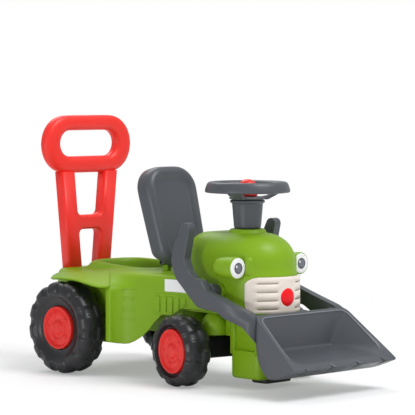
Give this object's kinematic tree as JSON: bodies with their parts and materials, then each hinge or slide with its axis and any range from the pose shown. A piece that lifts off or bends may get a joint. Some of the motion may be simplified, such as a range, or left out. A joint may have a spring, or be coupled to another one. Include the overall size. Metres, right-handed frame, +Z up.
{
  "type": "ride-on tractor toy",
  "caption": "Ride-on toddler tractor with steered front wheels, horn, lifting seat lid over a storage bin, rear push handle and a front loader bucket.",
  "frame": {"origin": "on the floor, midway between the two ends and between the two sides", "axes": "+X forwards, along the length; +Y to the left; +Z up"},
  "size_m": [0.6964, 0.332, 0.474],
  "materials": {
    "green_plastic": "smooth satin moulded plastic",
    "grey_plastic": "fine satin moulded plastic",
    "red_plastic": "smooth satin moulded plastic",
    "black_wheel": "hard moulded wheel with satin skin",
    "black_plastic": "plain moulded plastic",
    "cream_plastic": "smooth moulded plastic",
    "white_film": "printed film",
    "grey_film": "printed film",
    "steel": "plain zinc-plated steel"
  },
  "bodies": {
    "chassis": {"rear_body": "green_plastic", "cowl": "green_plastic", "hood": "green_plastic", "floor_pan": "green_plastic", "front_apron": "green_plastic", "skid_foot": "black_plastic", "grille": "cream_plastic", "grille_badge": "red_plastic", "push_handle": "red_plastic", "handle_screws": "steel", "pan_screws": "steel", "hinge_pin": "steel", "rear_axle": "steel", "rear_axle_caps": "black_plastic", "upper_bush": "black_plastic", "lower_bush": "black_plastic", "mudguard_left": "green_plastic", "mudguard_right": "green_plastic", "side_label_left": "white_film", "side_label_right": "white_film", "lamp_lens_left": "white_film", "lamp_lens_right": "white_film", "lamp_iris_left": "grey_film", "lamp_iris_right": "grey_film", "pivot_pin_left": "steel", "pivot_pin_right": "steel", "front_dome_left": "green_plastic", "front_dome_right": "green_plastic"},
    "steering": {"steering_column": "grey_plastic", "steering_shaft": "steel", "steering_wheel": "grey_plastic", "horn_cup": "red_plastic", "horn_sleeve": "black_plastic", "axle_beam": "black_plastic", "front_axle": "steel", "front_axle_caps": "black_plastic"},
    "horn": {"horn_button": "red_plastic"},
    "seat": {"seat_lid": "grey_plastic"},
    "loader": {"loader_arm_left": "grey_plastic", "loader_arm_right": "grey_plastic", "bucket": "grey_plastic", "bucket_screws": "steel"},
    "front_wheel_left_body": {"front_wheel_left": "black_wheel", "front_hubcap_left": "red_plastic"},
    "front_wheel_right_body": {"front_wheel_right": "black_wheel", "front_hubcap_right": "red_plastic"},
    "rear_wheel_left_body": {"rear_wheel_left": "black_wheel", "rear_hubcap_left": "red_plastic"},
    "rear_wheel_right_body": {"rear_wheel_right": "black_wheel", "rear_hubcap_right": "red_plastic"}
  },
  "joints": [
    {"name": "lid_hinge", "type": "hinge", "parent": "chassis", "child": "seat", "pos_m": [-0.0708, 0, 0.2076], "axis": [0, 1, 0], "range_deg": [-74, 24]},
    {"name": "steer_turn", "type": "hinge", "parent": "chassis", "child": "steering", "pos_m": [0.1072, 0, 0.2], "axis": [0, 0, 1], "range_deg": [-9.1, 26.9]},
    {"name": "horn_press", "type": "slide", "parent": "steering", "child": "horn", "axis": [0, 0, -1], "range_m": [0, 0.003], "stiffness_N_per_m": 600, "deforming": ["horn_sleeve"]},
    {"name": "loader_lift", "type": "hinge", "parent": "chassis", "child": "loader", "pos_m": [0.1092, 0, 0.17], "axis": [0, -1, 0], "range_deg": [0, 40]},
    {"name": "front_left_spin", "type": "hinge", "parent": "steering", "child": "front_wheel_left_body", "pos_m": [0.07904, 0.00441, 0.0635], "axis": [0.1547, 0.988, 0], "continuous": true},
    {"name": "front_right_spin", "type": "hinge", "parent": "steering", "child": "front_wheel_right_body", "pos_m": [0.07904, 0.00441, 0.0635], "axis": [0.1547, 0.988, 0], "continuous": true},
    {"name": "rear_left_spin", "type": "hinge", "parent": "chassis", "child": "rear_wheel_left_body", "pos_m": [-0.2248, 0, 0.085], "axis": [0, 1, 0], "continuous": true},
    {"name": "rear_right_spin", "type": "hinge", "parent": "chassis", "child": "rear_wheel_right_body", "pos_m": [-0.2248, 0, 0.085], "axis": [0, 1, 0], "continuous": true}
  ]
}
